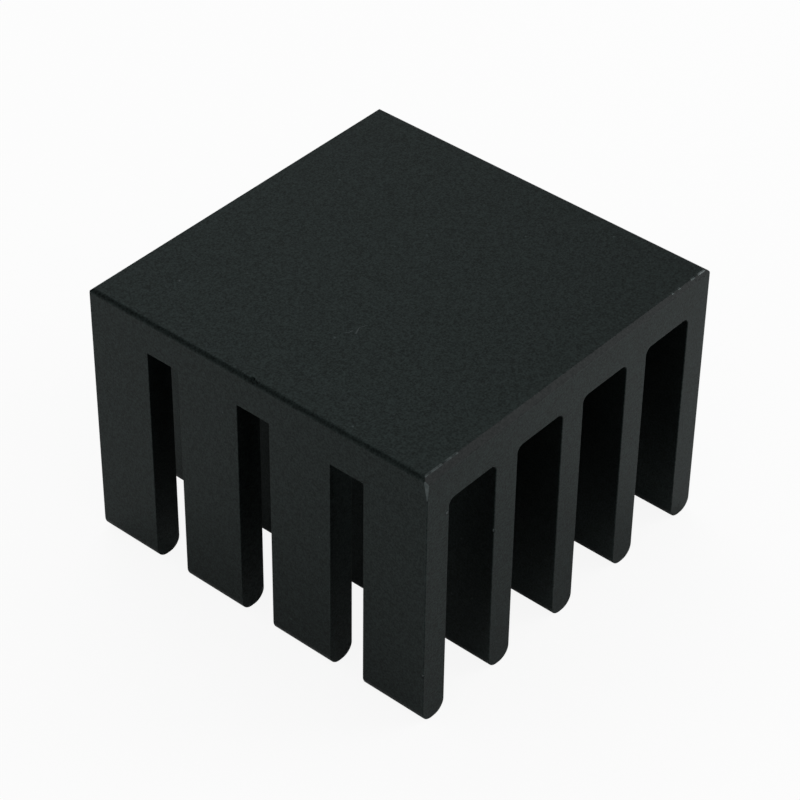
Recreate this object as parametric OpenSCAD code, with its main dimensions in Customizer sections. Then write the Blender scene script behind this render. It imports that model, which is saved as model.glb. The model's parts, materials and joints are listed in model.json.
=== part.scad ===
// Cross-cut pin heat sink, sawn from one black anodised aluminium extrusion.
// It stands on the tips of its pins with the flat mounting face up.
// The extruded profile lies in the XZ plane and runs along Y. Millimetres.

/* [Plate] */
// Width of the extrusion, across the fins
plate_w = 28; // [20:0.5:44]
// Length that the extrusion was sawn to
plate_l = 28.3; // [20:0.1:60]
// Thickness of the plate, from the fin roots to the mounting face
plate_t = 2.8; // [2:0.05:6]
// Radius of the two long edges beside the mounting face
edge_r = 0.35; // [0.2:0.05:1.5]

/* [Fins] */
// Number of fins in the profile
fin_count = 5; // [3:1:7]
// Thickness of a fin
fin_t = 2.05; // [1.2:0.05:2.5]
// Length of a fin, from its root to its tip
fin_h = 17.4; // [8:0.05:30]
// Radius of the corners at a fin's tip
tip_r = 0.9; // [0.2:0.05:1]
// Radius of the fillets at a fin's root
root_r = 0.5; // [0.2:0.05:0.8]

/* [Cross cuts] */
// Number of saw cuts that part the fins into pins
cut_count = 3; // [1:1:4]
// Width of a saw cut
cut_w = 2.7; // [1:0.1:3.5]
// How far the saw ran past the fin roots into the plate
cut_past_root = 0.15; // [0.05:0.05:0.8]
// How much shallower the saw ran in the cut nearest the front end
front_cut_lift = 0.45; // [0:0.05:0.8]

/* [Hidden] */
$fn = 48;
black_anodised = "#2a2e2e";

total_h = fin_h + plate_t;
gap_w = (plate_w - fin_count * fin_t) / (fin_count - 1);
fin_pitch = fin_t + gap_w;
pin_l = (plate_l - cut_count * cut_w) / (cut_count + 1);
cut_pitch = pin_l + cut_w;
// Saw blade and root cutter run this far clear of the metal
clear = 1;

// A strip that stands on the X axis, with its two upper corners rounded
module rounded_strip(width, height, radius) {
    r = min(radius, 0.49 * width, 0.98 * height);
    translate([-width / 2, 0]) square([width, height - r]);
    translate([r - width / 2, 0]) square([width - 2 * r, height]);
    for (side = [-1, 1])
        translate([side * (width / 2 - r), height - r]) circle(r = r);
}

// Where the fins and the gaps between them stand across the profile
function fin_x(i) = (i - (fin_count - 1) / 2) * fin_pitch;
function gap_x(i) = fin_x(i) + fin_pitch / 2;

// The plate, with the filleted roots of the gaps cut into its underside
module plate_profile() {
    difference() {
        translate([0, fin_h - root_r]) rounded_strip(plate_w, plate_t + root_r, edge_r);
        for (i = [0 : fin_count - 2])
            translate([gap_x(i), fin_h - root_r - clear])
                rounded_strip(gap_w, root_r + clear, root_r);
    }
}

// The fins below the plate, each with a rounded tip
module fin_profile() {
    for (i = [0 : fin_count - 1])
        translate([fin_x(i), fin_h - root_r]) mirror([0, 1])
            rounded_strip(fin_t, fin_h - root_r, tip_r);
}

// The extruded bar: the profile, run along Y
module bar() {
    rotate([90, 0, 0])
        linear_extrude(height = plate_l, center = true) {
            plate_profile();
            fin_profile();
        }
}

// One square-bottomed saw cut across all the fins
module saw_cut(i) {
    lift = i == 0 ? front_cut_lift : 0;
    depth = fin_h + cut_past_root - lift;
    y = (i - (cut_count - 1) / 2) * cut_pitch;
    translate([-plate_w / 2 - clear, y - cut_w / 2, -clear])
        cube([plate_w + 2 * clear, cut_w, depth + clear]);
}

module heat_sink() {
    color(black_anodised)
        difference() {
            bar();
            for (i = [0 : cut_count - 1]) saw_cut(i);
        }
}

heat_sink();
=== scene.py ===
# %% [markdown]
# # A cross-cut heat sink
# The object is a short length of black anodised aluminium extrusion. A press pushed hot aluminium through
# a die with five fins, a saw cut the bar to length and then crossed the fins three times, and the piece
# was etched and dyed black last, so that every face is black, the sawn ones too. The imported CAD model
# comes in first. It is the fixed frame: it gives the overall size, and nothing moves it.

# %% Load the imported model
import json
import math

import bmesh
import bpy
from mathutils import Matrix, Vector

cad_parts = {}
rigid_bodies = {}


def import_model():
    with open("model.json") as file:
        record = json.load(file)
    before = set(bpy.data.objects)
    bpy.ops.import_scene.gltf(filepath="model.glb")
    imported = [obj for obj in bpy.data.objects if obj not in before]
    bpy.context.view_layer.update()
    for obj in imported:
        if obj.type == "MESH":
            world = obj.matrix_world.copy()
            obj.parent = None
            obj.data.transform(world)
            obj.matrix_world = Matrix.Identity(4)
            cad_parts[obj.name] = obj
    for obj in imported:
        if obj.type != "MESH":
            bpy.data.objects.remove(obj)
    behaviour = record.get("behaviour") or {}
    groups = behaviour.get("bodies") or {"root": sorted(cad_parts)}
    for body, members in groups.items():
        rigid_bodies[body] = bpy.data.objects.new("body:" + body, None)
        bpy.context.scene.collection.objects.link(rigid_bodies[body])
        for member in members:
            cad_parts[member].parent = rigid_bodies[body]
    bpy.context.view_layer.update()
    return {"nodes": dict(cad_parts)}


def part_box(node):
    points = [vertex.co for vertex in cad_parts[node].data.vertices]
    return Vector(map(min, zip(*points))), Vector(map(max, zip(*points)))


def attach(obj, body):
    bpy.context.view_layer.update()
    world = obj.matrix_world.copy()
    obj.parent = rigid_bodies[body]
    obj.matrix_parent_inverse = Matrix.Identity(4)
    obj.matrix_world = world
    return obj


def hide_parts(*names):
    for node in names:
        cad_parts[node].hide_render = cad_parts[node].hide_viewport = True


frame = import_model()
lowest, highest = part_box("heat_sink")
print("CAD nodes:", sorted(frame["nodes"]))

# %% [markdown]
# ## The camera
# In the photograph the parallel edges converge a little, so the camera stands about seven widths away
# with a long lens. The angles below put the corners of the plate where the photograph has them. A camera
# is easiest to place by its three axes: back is the way from the object to the camera, and right and up
# are square to it.

# %% Camera
MM = 0.001
VIEW_AZIMUTH = math.radians(-49.61)
VIEW_ELEVATION = math.radians(39.07)
VIEW_ROLL = math.radians(0.787)
VIEW_DISTANCE = 193.05 * MM
AIM = Vector((0.04, 0.03, 10.16)) * MM
LENS_MM = 131.53
SENSOR_MM = 36.0

back = Vector((
    math.sin(VIEW_AZIMUTH) * math.cos(VIEW_ELEVATION),
    -math.cos(VIEW_AZIMUTH) * math.cos(VIEW_ELEVATION),
    math.sin(VIEW_ELEVATION),
))
level_right = Vector((0, 0, 1)).cross(back).normalized()
right = Matrix.Rotation(VIEW_ROLL, 3, back) @ level_right
up = back.cross(right)

bpy.ops.object.select_all(action="DESELECT")
bpy.ops.object.camera_add()
camera = bpy.context.object
camera.name = "camera"
camera.data.lens = LENS_MM
camera.data.sensor_fit = "HORIZONTAL"
camera.data.sensor_width = SENSOR_MM
camera.data.clip_start = 5 * MM
turn = Matrix((right, up, back)).transposed().to_4x4()
camera.matrix_world = Matrix.Translation(AIM + VIEW_DISTANCE * back) @ turn
bpy.context.scene.camera = camera
print("camera at", [round(value, 4) for value in camera.location])

# %% [markdown]
# ## The sizes of the profile
# The overall width, length and height come from the frame. What is inside them, such as the thickness of
# a fin, repeats the sizes that the construction was drawn with. The mesh is modelled in millimetres and
# shrunk to metres at the end, because Blender's bevel and boolean tools lose their footing on steps of a
# micrometre.

# %% Sizes in millimetres
WIDTH = (highest.x - lowest.x) / MM
LENGTH = (highest.y - lowest.y) / MM
HEIGHT = (highest.z - lowest.z) / MM
PLATE_THICK = 2.8
FIN_COUNT = 5
FIN_THICK = 2.05
EDGE_RADIUS = 0.35
TIP_RADIUS = 0.9
ROOT_RADIUS = 0.5
CUT_COUNT = 3
CUT_WIDTH = 2.7
CUT_PAST_ROOT = 0.15
FRONT_CUT_LIFT = 0.45

ROOT_Z = HEIGHT - PLATE_THICK
FIN_PITCH = (WIDTH - FIN_THICK) / (FIN_COUNT - 1)
CUT_PITCH = (LENGTH + CUT_WIDTH) / (CUT_COUNT + 1)
fin_centres = [(i - (FIN_COUNT - 1) / 2) * FIN_PITCH for i in range(FIN_COUNT)]
cut_centres = [(i - (CUT_COUNT - 1) / 2) * CUT_PITCH for i in range(CUT_COUNT)]
print("fins at x =", [round(x, 3) for x in fin_centres])
print("saw cuts at y =", [round(y, 3) for y in cut_centres])

# %% [markdown]
# ## The section of the extrusion
# The die draws one closed outline: a plate with five fins below it. By hand this starts as a plane the
# size of the plate's section. Bisect marks where the fins stand, the marked edges are extruded down, and
# a limited dissolve leaves one flat face with only the corners that the outline needs. A list of corner
# points would do as well, but this way each step follows one size of the part. The corners are then
# rounded with a bevel that acts on points. It gives each corner a true arc.

# %% Helpers for edit mode
NEAR = 1e-3


def add_primitive(name, operator, stretch=(1, 1, 1), **place):
    """Add a primitive by itself, name it, and put its place, turn and stretch into its mesh."""
    bpy.ops.object.select_all(action="DESELECT")
    operator(**place)
    made = bpy.context.object
    made.name = name
    made.data.name = name
    made.scale = stretch
    bpy.ops.object.transform_apply(location=True, rotation=True, scale=True)
    return made


def pick(kind, test):
    """Select only the points, edges or faces that pass the test, and return how many."""
    bpy.ops.mesh.select_mode(type=kind)
    bpy.ops.mesh.select_all(action="DESELECT")
    data = bpy.context.object.data
    mesh = bmesh.from_edit_mesh(data)
    mesh.normal_update()
    parts = {"VERT": mesh.verts, "EDGE": mesh.edges, "FACE": mesh.faces}[kind]
    chosen = [part for part in parts if test(part)]
    for part in chosen:
        part.select = True
    mesh.select_flush_mode()
    bmesh.update_edit_mesh(data)
    return len(chosen)


def middle(edge):
    """The point halfway along an edge."""
    return (edge.verts[0].co + edge.verts[1].co) / 2


def on_a_fin(x):
    """Whether x lies within the thickness of one of the fins."""
    return any(abs(x - centre) < FIN_THICK / 2 for centre in fin_centres)


# %% Draw the section
body = add_primitive(
    "finned_body", bpy.ops.mesh.primitive_plane_add, size=1, rotation=(math.pi / 2, 0, 0),
    location=(0, -LENGTH / 2, ROOT_Z + PLATE_THICK / 2), stretch=(WIDTH, PLATE_THICK, 1),
)
bpy.ops.object.mode_set(mode="EDIT")
for centre in fin_centres:
    for side in (-1, 1):
        bpy.ops.mesh.select_all(action="SELECT")
        bpy.ops.mesh.bisect(plane_co=(centre + side * FIN_THICK / 2, 0, 0), plane_no=(1, 0, 0))
fin_roots = pick("EDGE", lambda edge: abs(middle(edge).z - ROOT_Z) < NEAR and on_a_fin(middle(edge).x))
bpy.ops.mesh.extrude_region_move(TRANSFORM_OT_translate={"value": (0, 0, -ROOT_Z)})
bpy.ops.mesh.select_all(action="SELECT")
bpy.ops.mesh.dissolve_limited(angle_limit=math.radians(1))
print("fins drawn:", fin_roots)

# %% Round its corners
corner_kinds = (
    ("fin tips", TIP_RADIUS, 10, lambda point: abs(point.co.z) < NEAR),
    ("fin roots", ROOT_RADIUS, 8, lambda point: abs(point.co.z - ROOT_Z) < NEAR),
    ("long edges", EDGE_RADIUS, 10, lambda point: abs(point.co.z - HEIGHT) < NEAR),
)
for name, radius, segments, is_corner in corner_kinds:
    found = pick("VERT", is_corner)
    bpy.ops.mesh.bevel(
        offset_type="OFFSET", offset=radius, segments=segments, profile=0.5,
        affect="VERTICES", clamp_overlap=False,
    )
    print(name, "rounded:", found)

# %% [markdown]
# ## The bar and its ends
# Extruding the section along Y gives the bar. Its ends are sawn, and a sawn end of aluminium carries a
# burr. Here tumbling broke the whole outline a little, which is an edge bevel on both ends, and a file
# then went along the edges of the mounting face. A file leaves a flat, so each of its strokes is a bisect
# with a plane that clears what is outside and fills the cut. The hand pressed harder at the front left
# corner, so that flat narrows on its way to the right.

# %% Extrude the bar and break the outlines of its ends
END_BREAK = 0.06

bpy.ops.mesh.select_mode(type="FACE")
bpy.ops.mesh.select_all(action="SELECT")
bpy.ops.mesh.extrude_region_move(TRANSFORM_OT_translate={"value": (0, LENGTH, 0)})
bpy.ops.mesh.select_all(action="SELECT")
bpy.ops.mesh.normals_make_consistent(inside=False)
end_edges = pick("EDGE", lambda edge: abs(abs(middle(edge).y) - LENGTH / 2) < NEAR)
bpy.ops.mesh.bevel(
    offset_type="OFFSET", offset=END_BREAK, segments=3, profile=0.5, affect="EDGES", clamp_overlap=False,
)
print("end edges broken:", end_edges)

# %% File the edges of the mounting face
WIDEST_BREAK = 0.42
NARROW_BREAK = 0.24
BACK_BREAK = 0.2


def file_edge(side, left, right):
    """File the mounting face's edge at one end (-1 front, 1 back) to a flat of two given widths."""
    end = side * LENGTH / 2
    on_top = Vector((-WIDTH / 2, end - side * left, HEIGHT))
    on_end = Vector((-WIDTH / 2, end, HEIGHT - left))
    far_top = Vector((WIDTH / 2, end - side * right, HEIGHT))
    out = (on_end - on_top).cross(far_top - on_top).normalized()
    if out.z < 0:
        out.negate()
    bpy.ops.mesh.select_all(action="SELECT")
    bpy.ops.mesh.bisect(plane_co=on_top, plane_no=out, use_fill=True, clear_outer=True)


file_edge(-1, WIDEST_BREAK, NARROW_BREAK)
file_edge(1, BACK_BREAK, BACK_BREAK)
bpy.ops.object.mode_set(mode="OBJECT")
print("faces after filing:", len(body.data.polygons))

# %% [markdown]
# ## The saw cuts
# The saw then crosses the fins three times. The fins could be extruded pin by pin instead, but their
# rounded tips and roots run through all the pins, so they are made whole first. Each crossing is a box
# that a boolean takes away, as a blade does. The cut nearest the front end stops a little higher than the
# other two, as on the real piece.

# %% Saw across the fins
BLADE_CLEAR = 1.0


def cut_away(target, cutter):
    """Take the cutter's volume from the target, and remove the cutter."""
    bpy.ops.object.select_all(action="DESELECT")
    bpy.context.view_layer.objects.active = target
    target.select_set(True)
    step = target.modifiers.new("cut", "BOOLEAN")
    step.operation = "DIFFERENCE"
    step.solver = "EXACT"
    step.material_mode = "TRANSFER"
    step.object = cutter
    bpy.ops.object.modifier_apply(modifier=step.name)
    bpy.data.objects.remove(cutter, do_unlink=True)


for number, centre in enumerate(cut_centres):
    floor_z = ROOT_Z + CUT_PAST_ROOT - (FRONT_CUT_LIFT if number == 0 else 0)
    blade = add_primitive(
        "blade", bpy.ops.mesh.primitive_cube_add, size=1,
        location=(0, centre, (floor_z - BLADE_CLEAR) / 2),
        stretch=(WIDTH + 2 * BLADE_CLEAR, CUT_WIDTH, floor_z + BLADE_CLEAR),
    )
    cut_away(body, blade)
print("faces after sawing:", len(body.data.polygons))

# %% [markdown]
# The saw leaves sharp edges round each pin. Etching eats a little off them, so they are rounded too, but
# less than the ends. Only edges that stand out are chosen: the inner corner where a cut's wall meets its
# floor stays square. An edge stands out when its faces turn away from each other.

# %% Soften the edges of the saw cuts
PIN_BREAK = 0.05
SHARP = math.radians(60)
SAME_POINT = 1e-4


def in_a_cut(y):
    """Whether y lies within the width of a saw cut, walls included."""
    return any(abs(y - centre) < CUT_WIDTH / 2 + NEAR for centre in cut_centres)


def is_cut_edge(edge):
    """Whether an edge stands out sharply and was made by the saw cuts."""
    if len(edge.link_faces) != 2 or not edge.is_convex:
        return False
    return edge.calc_face_angle() > SHARP and all(in_a_cut(point.co.y) for point in edge.verts)


bpy.context.view_layer.objects.active = body
body.select_set(True)
bpy.ops.object.mode_set(mode="EDIT")
bpy.ops.mesh.select_all(action="SELECT")
bpy.ops.mesh.remove_doubles(threshold=SAME_POINT)
cut_edges = pick("EDGE", is_cut_edge)
bpy.ops.mesh.bevel(
    offset_type="OFFSET", offset=PIN_BREAK, segments=2, profile=0.5, affect="EDGES", clamp_overlap=False,
)
bpy.ops.object.mode_set(mode="OBJECT")
print("cut edges softened:", cut_edges)

# %% [markdown]
# ## The finishes
# Black anodising is a layer of clear oxide, dyed black, on etched aluminium. The dye swallows all the
# light that would show a body colour, and what the eye sees is a weak, wide gloss, a little cooler than
# the light. A dark glossy plastic would come close, but its gloss is the same all over. So the skin is
# built as a metal with a very dark colour: the colour then says how much each spot mirrors, and a gap
# that has nothing bright to mirror stays black. The extruded, the sawn and the filed faces share this
# skin and differ in its tones and lines, so one function builds all three. A second one builds the places
# where the layer is worn thin.

# %% Material helpers


def linear(code):
    """The linear colour of an sRGB hex value such as '2a2e2e'."""
    parts = [int(code[i:i + 2], 16) / 255 for i in (0, 2, 4)]
    return [c / 12.92 if c <= 0.04045 else ((c + 0.055) / 1.055) ** 2.4 for c in parts] + [1.0]


def add_node(tree, kind, inputs=None, **settings):
    """Add a node, set its properties, and set or link its inputs."""
    made = tree.nodes.new(kind)
    for name, value in settings.items():
        setattr(made, name, value)
    for socket, value in (inputs or {}).items():
        if isinstance(value, bpy.types.NodeSocket):
            tree.links.new(value, made.inputs[socket])
        else:
            made.inputs[socket].default_value = value
    return made


def new_material(name):
    """An empty node material, and its tree."""
    made = bpy.data.materials.new(name)
    made.use_nodes = True
    made.node_tree.nodes.clear()
    return made, made.node_tree


# %% [markdown]
# Each pattern of the black skin has a real size. The pits of the etch are some hundredths of a millimetre
# wide, which is less than a pixel here, so the grain is drawn coarser, just wide enough to show. The
# mottle is cloudier and comes from the crystals of the metal. Grain and mottle together choose the tone
# of a spot. Dust and pinholes are the pale specks. A Voronoi pattern measures how far each spot is from
# the nearest of many strewn points, and only what is very near one turns pale.

# %% Colour of the black skin
GRAIN_MM = 0.13
MOTTLE_MM = 0.45
MOTTLE_SHARE = 0.4
TONE_SPREAD = 0.2
SPECK_SPACING_MM = 2.2
SPECK_CORE = 0.02
SPECK_RIM = 0.05
SPECK_TONE = "3c4444"


def skin_colour(tree, place, grain, mottle, dark, pale):
    """The dyed layer's colour: grain and mottle between two tones, with pale specks."""
    cloud = add_node(tree, "ShaderNodeMath", {
        0: mottle, 1: MOTTLE_SHARE, 2: grain,
    }, operation="MULTIPLY_ADD")
    mean = 0.5 + 0.5 * MOTTLE_SHARE
    tone = add_node(tree, "ShaderNodeMapRange", {
        "Value": cloud.outputs[0], "From Min": mean - TONE_SPREAD, "From Max": mean + TONE_SPREAD,
    })
    dye = add_node(tree, "ShaderNodeMix", {
        "Factor": tone.outputs[0], "A": linear(dark), "B": linear(pale),
    }, data_type="RGBA")
    strewn = add_node(tree, "ShaderNodeTexVoronoi", {
        "Vector": place, "Scale": 1 / (SPECK_SPACING_MM * MM),
    })
    speck = add_node(tree, "ShaderNodeMapRange", {
        "Value": strewn.outputs["Distance"], "From Min": SPECK_CORE, "From Max": SPECK_RIM,
        "To Min": 1.0, "To Max": 0.0,
    })
    return add_node(tree, "ShaderNodeMix", {
        "Factor": speck.outputs[0], "A": dye.outputs["Result"], "B": linear(SPECK_TONE),
    }, data_type="RGBA").outputs["Result"]


# %% [markdown]
# The relief is the same grain as shallow pits, with faint lines that follow the way the die, the saw or
# the file ran. That way is called the lay, and the lines are a pattern stretched along it. Geometry would
# be wasted on it: the pits are far too shallow to show in an outline, so a bump does.

# %% Relief of the black skin
GRAIN_DEPTH_MM = 0.02
GRAIN_STRENGTH = 0.2
LINE_MM = 0.2
ALONG_X = (0.04, 1.0, 1.0)
ALONG_Y = (1.0, 0.04, 1.0)


def skin_relief(tree, place, grain, lay, line_share):
    """The etched pits and the lines along the lay, as a bump."""
    stretched = add_node(tree, "ShaderNodeMapping", {"Vector": place, "Scale": lay})
    lines = add_node(tree, "ShaderNodeTexNoise", {
        "Vector": stretched.outputs[0], "Scale": 1 / (LINE_MM * MM), "Detail": 2.0,
    })
    relief = add_node(tree, "ShaderNodeMath", {
        0: lines.outputs["Fac"], 1: line_share, 2: grain,
    }, operation="MULTIPLY_ADD")
    return add_node(tree, "ShaderNodeBump", {
        "Height": relief.outputs[0], "Strength": GRAIN_STRENGTH, "Distance": GRAIN_DEPTH_MM * MM,
    }).outputs["Normal"]


# %% [markdown]
# Anodising leaves the metal satin. The mottle makes its gloss a little uneven too, which keeps a large
# flat face from looking like a sheet of plastic.

# %% Black anodised skin
MOTTLE_LOW = 0.3
MOTTLE_HIGH = 0.7
SATIN_LOW = 0.485
SATIN_HIGH = 0.515


def anodised_skin(name, dark, pale, lay, line_share):
    """Black anodised aluminium: satin, dyed between two tones, with faint lines along its lay."""
    made, tree = new_material(name)
    place = add_node(tree, "ShaderNodeTexCoord").outputs["Object"]
    grain = add_node(tree, "ShaderNodeTexNoise", {
        "Vector": place, "Scale": 1 / (GRAIN_MM * MM), "Detail": 2.0,
    }).outputs["Fac"]
    mottle = add_node(tree, "ShaderNodeTexNoise", {
        "Vector": place, "Scale": 1 / (MOTTLE_MM * MM), "Detail": 3.0,
    }).outputs["Fac"]
    satin = add_node(tree, "ShaderNodeMapRange", {
        "Value": mottle, "From Min": MOTTLE_LOW, "From Max": MOTTLE_HIGH,
        "To Min": SATIN_LOW, "To Max": SATIN_HIGH,
    })
    shader = add_node(tree, "ShaderNodeBsdfPrincipled", {
        "Base Color": skin_colour(tree, place, grain, mottle, dark, pale), "Metallic": 1.0,
        "Roughness": satin.outputs[0], "Normal": skin_relief(tree, place, grain, lay, line_share),
    })
    add_node(tree, "ShaderNodeOutputMaterial", {"Surface": shader.outputs["BSDF"]})
    return made


# Extruded and etched: a fine even grain with hardly a line, satin, and blacker the less it has to mirror.
etched = anodised_skin("etched_black_anodised_aluminium", "1a1f1e", "2d3534", ALONG_Y, 0.3)
# Sawn, then etched: a harsher grain, with the blade's lines across the fins where light rakes over them.
sawn = anodised_skin("sawn_black_anodised_aluminium", "141918", "2e3736", ALONG_X, 0.8)
# Filed smooth, then etched: an even and more neutral grey, so the flat melts into the sawn end below it.
filed = anodised_skin("filed_black_anodised_aluminium", "242626", "2f3131", ALONG_X, 0.3)
print("black finishes:", [finish.name for finish in (etched, sawn, filed)])

# %% [markdown]
# Where an edge was rubbed the dyed layer is thin, and grey metal shows through in patches, about as long
# as the edge's own small waves. Where it was scuffed the grey is more even, and a chip takes the layer
# off altogether, which leaves the palest spots. A light scratch on a face only grooves the layer, so it
# is hardly paler than the skin round it.

# %% Worn places
RUB_MM = 0.35
DULL_BELOW = 0.35
BRIGHT_ABOVE = 0.7
WORN_ROUGHNESS = 0.45


def worn_skin(name, dull, bright):
    """Anodising that is worn thin: patches of grey metal between a dull and a bright tone."""
    made, tree = new_material(name)
    place = add_node(tree, "ShaderNodeTexCoord").outputs["Object"]
    patches = add_node(tree, "ShaderNodeTexNoise", {
        "Vector": place, "Scale": 1 / (RUB_MM * MM), "Detail": 3.0,
    })
    bare = add_node(tree, "ShaderNodeMapRange", {
        "Value": patches.outputs["Fac"], "From Min": DULL_BELOW, "From Max": BRIGHT_ABOVE,
    })
    tone = add_node(tree, "ShaderNodeMix", {
        "Factor": bare.outputs[0], "A": linear(dull), "B": linear(bright),
    }, data_type="RGBA")
    shader = add_node(tree, "ShaderNodeBsdfPrincipled", {
        "Base Color": tone.outputs["Result"], "Metallic": 1.0, "Roughness": WORN_ROUGHNESS,
    })
    add_node(tree, "ShaderNodeOutputMaterial", {"Surface": shader.outputs["BSDF"]})
    return made


# Rubbed by handling: dull grey glints that come and go along an edge.
rubbed = worn_skin("rubbed_anodised_edge", "2e3333", "545b5b")
# Scuffed by something hard: a soft pale line, more even than a rub.
scuffed = worn_skin("scuffed_anodised_edge", "464d4d", "5a6161")
# Chipped down to the metal: a pale point.
chipped = worn_skin("chipped_anodised_edge", "4e5454", "6a7070")
# Scratched lightly: a thin line, a little paler than the skin.
scratched = worn_skin("scratched_anodised_face", "303636", "3e4444")
worn_finishes = (rubbed, scuffed, chipped, scratched)
print("worn finishes:", [finish.name for finish in worn_finishes])

# %% [markdown]
# On the real piece each tool left its own surface. By hand the faces would be picked one by one, but a
# test still holds when a size changes, so they are told apart by the way they look. A face that looks
# along Y was sawn, and so was the floor of a cut. A long face that looks up and along Y in about equal
# parts is a flat that the file left. All others keep the etched skin, the small bevels too.

# %% Give each face its finish
SQUARE_ON = 0.99
SLANTED = 0.6
SMALLEST_FLAT = 1.0

body.data.materials.clear()
for finish in (etched, sawn, filed, *worn_finishes):
    body.data.materials.append(finish)


def is_sawn(face):
    """Whether the saw made this face: an end, or a wall or the floor of a cut."""
    if abs(face.normal.y) > SQUARE_ON:
        return True
    centre = face.calc_center_median()
    return face.normal.z < -SQUARE_ON and centre.z > ROOT_Z / 2 and in_a_cut(centre.y)


def is_filed(face):
    """Whether this face is one of the two long flats beside the mounting face."""
    return min(abs(face.normal.y), face.normal.z) > SLANTED and face.calc_area() > SMALLEST_FLAT


bpy.context.view_layer.objects.active = body
body.select_set(True)
bpy.ops.object.mode_set(mode="EDIT")
for slot, test in ((1, is_sawn), (2, is_filed)):
    found = pick("FACE", test)
    body.active_material_index = slot
    bpy.ops.object.material_slot_assign()
    print(body.data.materials[slot].name, "on", found, "faces")
bpy.ops.object.mode_set(mode="OBJECT")

# %% [markdown]
# ## Marks of use
# The photograph shows a nick in the left long edge, a few small knocks, a short wavy scratch on the
# mounting face, and edges rubbed grey at the near corner and the right corner. They could be painted on
# with a mask, but a mark that is cut looks right from every side. The cutters carry a finish, and the
# boolean hands it on to the faces that it makes. A knock is a small ball, and the nick is two that
# overlap, deep enough to stay dark. A scrape is a square bar drawn from one point to another: a wide bar
# on an edge leaves a narrow flat, and a thin one on a face leaves a groove.

# %% Nick and knocks
# Place and radii of each ball, and the finish that it leaves.
knocks = (
    ((-13.85, 0.12, 20.22), (0.22, 0.22, 0.22), etched),
    ((-13.95, -0.2, 20.12), (0.2, 0.24, 0.2), etched),
    ((-13.98, -14.08, 4.2), (0.12, 0.12, 0.12), chipped),
    ((-7.5, -14.14, 12.0), (0.1, 0.1, 0.14), rubbed),
    ((-12.1, -14.16, 16.5), (0.11, 0.09, 0.11), chipped),
    ((-9.6, 10.45, 20.27), (0.16, 0.15, 0.1), rubbed),
)
for place, radii, finish in knocks:
    knock = add_primitive(
        "knock", bpy.ops.mesh.primitive_ico_sphere_add, subdivisions=3, location=place, stretch=radii,
    )
    knock.data.materials.append(finish)
    cut_away(body, knock)
print("knocks cut:", len(knocks))

# %% Scratch on the mounting face


def scrape(start, end, out, depth, width, finish):
    """Draw a square bar from start to end, dipped to a depth below the surface that faces out."""
    start, end, out = Vector(start), Vector(end), Vector(out).normalized()
    along = (end - start).normalized()
    axes = Matrix((along, out.cross(along), out)).transposed()
    bar = add_primitive(
        "scrape", bpy.ops.mesh.primitive_cube_add, size=1, rotation=axes.to_euler(),
        location=(start + end) / 2 + out * (width / 2 - depth),
        stretch=((end - start).length, width, width),
    )
    bar.data.materials.append(finish)
    cut_away(body, bar)


SCRATCH_DEPTH = 0.01
SCRATCH_WIDTH = 0.1
# Both ends of each stroke, in X and Y on the mounting face.
strokes = (
    ((-6.57, -1.02), (-6.43, -1.21)),
    ((-6.45, -1.2), (-6.12, -1.28)),
    ((-6.27, -1.63), (-5.62, -1.36)),
    ((-5.64, -1.37), (-5.07, -1.59)),
)
for start, end in strokes:
    scrape((*start, HEIGHT), (*end, HEIGHT), (0, 0, 1), SCRATCH_DEPTH, SCRATCH_WIDTH, scratched)
print("scratch strokes cut:", len(strokes))

# %% Rubbed edges
RUB_DEPTH = 0.028
RUB_WIDTH = 1.0
EDGE_OUT = (0, -0.4, 1)
SCUFF_LENGTH = 1.75
SCUFF_LEAN = Vector((0.072, 0.162, -0.01))
SCUFF_OUT = (-1, -0.444, 0.083)


def filed_edge(x):
    """The upper edge of the front flat at this x."""
    narrowing = (WIDEST_BREAK - NARROW_BREAK) * (x / WIDTH + 0.5)
    return (x, WIDEST_BREAK - narrowing - LENGTH / 2, HEIGHT)


# Both ends of each rub along the front edge, and how far the anodising is worn.
rubs = (
    (-13.8, -12.2, rubbed),
    (-12.05, -10.8, rubbed),
    (10.2, 10.4, rubbed),
    (10.85, 11.1, rubbed),
    (12.2, 12.65, scuffed),
    (12.95, 13.65, chipped),
)
for near, far, finish in rubs:
    scrape(filed_edge(near), filed_edge(far), EDGE_OUT, RUB_DEPTH, RUB_WIDTH, finish)

# The near corner is scuffed downwards as well: a flat that starts as a point and widens towards the top.
near_corner = Vector((-WIDTH / 2, -LENGTH / 2, HEIGHT))
foot = near_corner - Vector((0, 0, SCUFF_LENGTH))
scrape(foot, near_corner + SCUFF_LEAN, SCUFF_OUT, SCRATCH_DEPTH, RUB_WIDTH, scuffed)
print("rubs cut:", len(rubs) + 1)

# %% [markdown]
# ## From millimetres to metres
# The scene is in metres, so the finished object is scaled down and its scale is applied. A resize in edit
# mode would move every point by a rounded step, and the smallest facets would close up. Smooth shading is
# kept within arcs and broken at corners by the angle between faces. Weighted normals then let the large
# faces decide the shading of the small bevels beside them, so that flat faces stay flat.

# %% Shrink and shade
ARC_ANGLE = math.radians(35)

bpy.context.view_layer.objects.active = body
body.select_set(True)
body.scale = (MM, MM, MM)
bpy.ops.object.transform_apply(location=False, rotation=False, scale=True)
bpy.ops.object.shade_smooth_by_angle(angle=ARC_ANGLE)
weighted = body.modifiers.new("flat faces stay flat", "WEIGHTED_NORMAL")
weighted.keep_sharp = True
bpy.ops.object.modifier_apply(modifier=weighted.name)
print("body:", len(body.data.vertices), "points,", len(body.data.polygons), "faces")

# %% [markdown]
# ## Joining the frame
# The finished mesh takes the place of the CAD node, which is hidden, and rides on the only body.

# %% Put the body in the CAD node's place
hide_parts("heat_sink")
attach(body, "root")
print(body.name, "stands for heat_sink")

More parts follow.
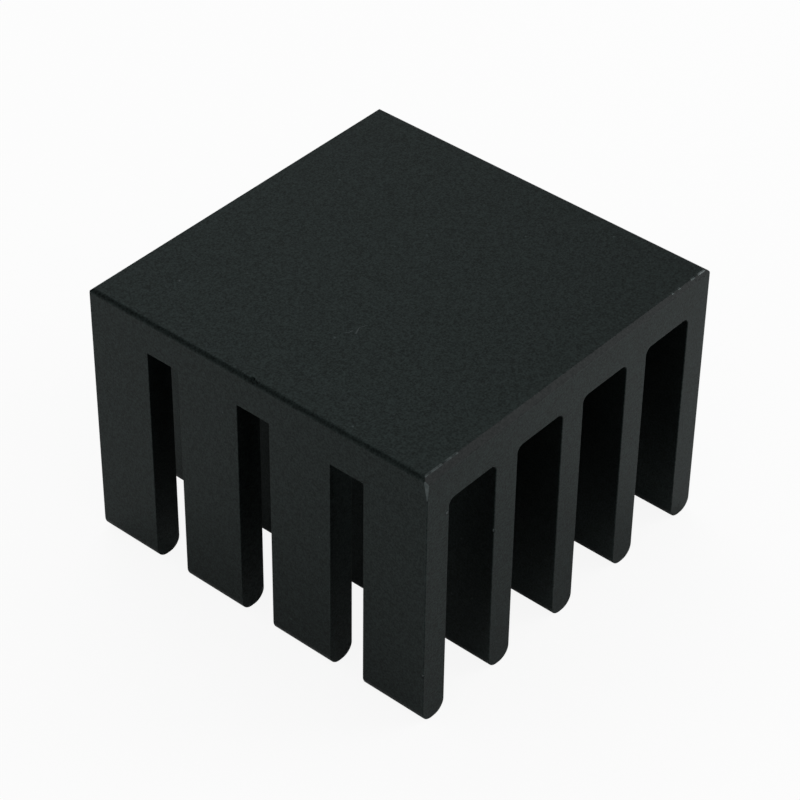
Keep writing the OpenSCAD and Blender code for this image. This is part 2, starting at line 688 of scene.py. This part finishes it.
# %% [markdown]
# ## The floor
# The photograph has a plain white ground, and the floor here is a sheet of white card. Lit by the room
# alone, a card looks pale grey. More light would make it white, but it would fall on the object too. So
# the card is mixed with a white of its own that the camera sees. Rays that mirror off metal or pass
# through glass get only a trace of that white, because they already meet the card in its lit colour. The
# rest of the mix is lit as usual, which keeps the object's shadow.

# %% Floor
FLOOR_SIDE = 4.0
CARD_TONE = "f2f2f2"
SEEN_WHITE = 0.9
MIRRORED_WHITE = 0.03


def mirrored_rays(tree, rays):
    """1 for a ray that mirrors off something or passes through it, and 0 for any other."""
    return add_node(tree, "ShaderNodeMath", {
        0: rays.outputs["Is Glossy Ray"], 1: rays.outputs["Is Transmission Ray"],
    }, operation="MAXIMUM").outputs[0]


floor = add_primitive("floor", bpy.ops.mesh.primitive_plane_add, size=FLOOR_SIDE)
# White card: matt and bright, with a soft shadow.
card, tree = new_material("white_card")
rays = add_node(tree, "ShaderNodeLightPath")
trace = add_node(tree, "ShaderNodeMath", {
    0: mirrored_rays(tree, rays), 1: MIRRORED_WHITE,
}, operation="MULTIPLY")
share = add_node(tree, "ShaderNodeMath", {
    0: rays.outputs["Is Camera Ray"], 1: SEEN_WHITE, 2: trace.outputs[0],
}, operation="MULTIPLY_ADD")
lit = add_node(tree, "ShaderNodeBsdfDiffuse", {"Color": linear(CARD_TONE)})
white = add_node(tree, "ShaderNodeEmission", {"Color": (1, 1, 1, 1), "Strength": 1.0})
mixed = add_node(tree, "ShaderNodeMixShader", {0: share.outputs[0], 1: lit.outputs[0], 2: white.outputs[0]})
add_node(tree, "ShaderNodeOutputMaterial", {"Surface": mixed.outputs[0]})
floor.data.materials.append(card)
print("floor:", FLOOR_SIDE, "m of", card.name)

# %% [markdown]
# ## The light
# A dark metal shows hardly anything but what it mirrors, so each lamp is placed where a face looks. Seen
# from the camera, the mounting face mirrors what is high up behind the object, and a large softbox there
# gives it its even grey. A small softbox at the right brightens the right part of the front end. Both are
# soft and weak, so that the colours come out about as they are written. The room is plain: white to the
# camera, and dimmer to the rays that mirror off the metal, because the rounded long edge mirrors the room
# and is nearly black in the photograph.

# %% Lamps


def add_softbox(name, side, watts, azimuth, elevation, distance):
    """A square softbox that looks at the object from a bearing (0 is -Y, 90 is +X) and a height angle."""
    bearing, rise = math.radians(azimuth), math.radians(elevation)
    level = math.cos(rise)
    way = Vector((math.sin(bearing) * level, -math.cos(bearing) * level, math.sin(rise)))
    bpy.ops.object.select_all(action="DESELECT")
    bpy.ops.object.light_add(type="AREA")
    lamp = bpy.context.object
    lamp.name = name
    lamp.data.energy = watts
    lamp.data.shape = "SQUARE"
    lamp.data.size = side
    centre = Vector((0, 0, HEIGHT / 2)) * MM
    facing = way.to_track_quat("Z", "Y").to_matrix().to_4x4()
    lamp.matrix_world = Matrix.Translation(centre + distance * way) @ facing
    print(name, "at", [round(value, 3) for value in lamp.location], "with", watts, "W")


add_softbox("softbox_behind", side=0.5, watts=1.0, azimuth=145.0, elevation=50.0, distance=0.8)
add_softbox("softbox_right", side=0.15, watts=0.3, azimuth=50.0, elevation=26.0, distance=0.35)

# %% The room
SEEN_LEVEL = 1.0
ROOM_LEVEL = 0.65
MIRRORED_LEVEL = 0.33

world = bpy.data.worlds.new("studio")
bpy.context.scene.world = world
world.use_nodes = True
tree = world.node_tree
tree.nodes.clear()
rays = add_node(tree, "ShaderNodeLightPath")
unseen = add_node(tree, "ShaderNodeMath", {
    0: mirrored_rays(tree, rays), 1: MIRRORED_LEVEL - ROOM_LEVEL, 2: ROOM_LEVEL,
}, operation="MULTIPLY_ADD")
strength = add_node(tree, "ShaderNodeMath", {
    0: rays.outputs["Is Camera Ray"], 1: SEEN_LEVEL - ROOM_LEVEL, 2: unseen.outputs[0],
}, operation="MULTIPLY_ADD")
ground = add_node(tree, "ShaderNodeBackground", {"Color": (1, 1, 1, 1), "Strength": strength.outputs[0]})
add_node(tree, "ShaderNodeOutputWorld", {"Surface": ground.outputs[0]})
print("room light:", ROOM_LEVEL, "and as mirrored:", MIRRORED_LEVEL)

# %% [markdown]
# ## The result
# The Standard view shows colours as they are, with no film curve.

# %% View
bpy.context.scene.view_settings.view_transform = "Standard"
